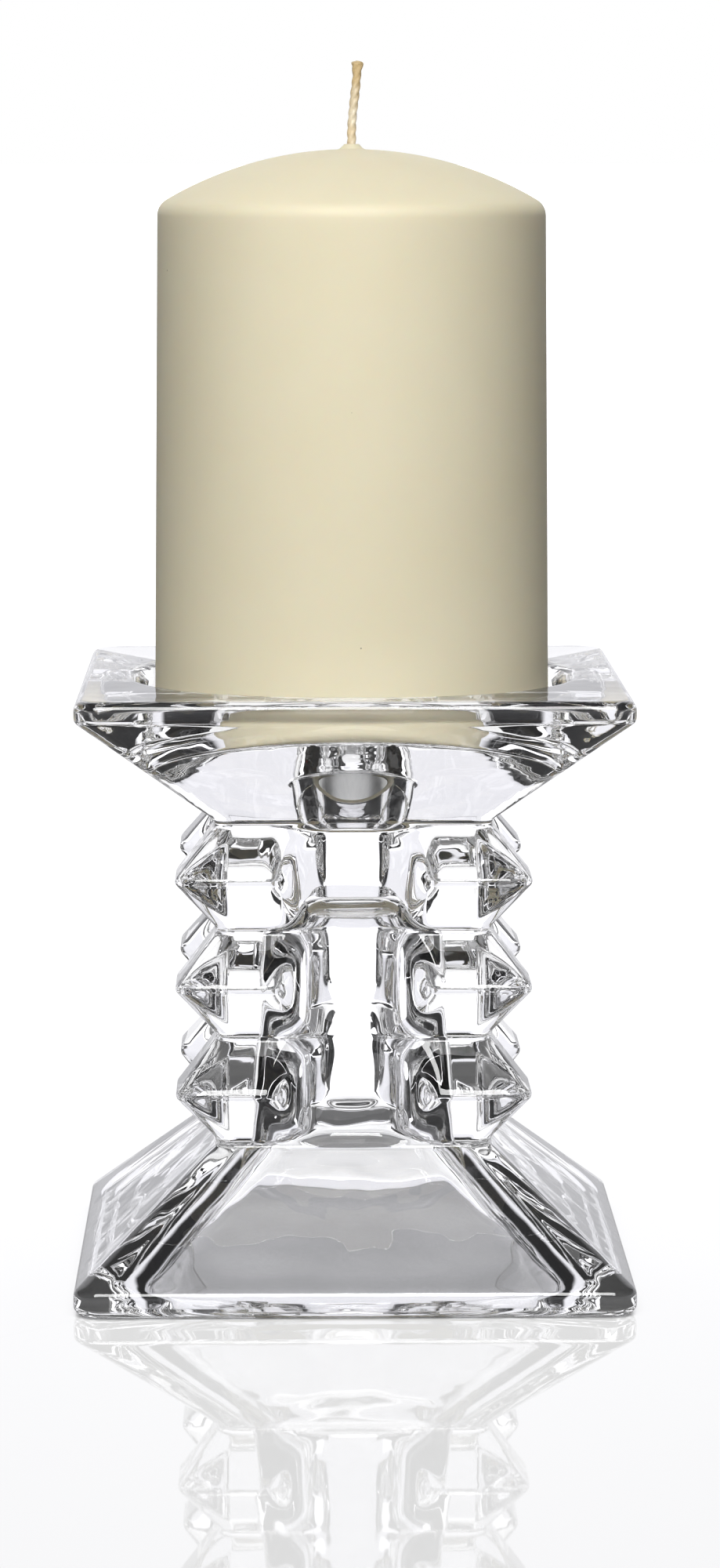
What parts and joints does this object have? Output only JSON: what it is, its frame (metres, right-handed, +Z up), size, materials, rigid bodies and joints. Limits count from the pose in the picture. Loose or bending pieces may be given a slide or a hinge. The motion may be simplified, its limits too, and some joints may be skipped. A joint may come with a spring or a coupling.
{
  "type": "pillar candle holder",
  "caption": "Clear pressed-glass pillar candle holder with a square dish, fluted tiered stem and hollow pyramid foot, holding a domed ivory pillar candle.",
  "frame": {"origin": "centre of the foot, on the surface it stands on", "axes": "+Z up along the stem, -Y towards the picture's camera, sides of the dish along X and Y"},
  "size_m": [0.0984, 0.0984, 0.2172],
  "materials": {
    "clear_glass": "fire-polished, clear",
    "ivory_wax": "satin wax",
    "cotton_wick": "braided, waxed",
    "tinplate": "stamped"
  },
  "bodies": {
    "holder": {"glass_holder": "clear_glass"},
    "candle": {"candle_body": "ivory_wax", "wick": "cotton_wick", "wick_sustainer": "tinplate"}
  },
  "joints": [
    {"name": "candle_lift", "type": "slide", "parent": "holder", "child": "candle", "axis": [0, 0, 1], "range_m": [0, 0.04]}
  ]
}
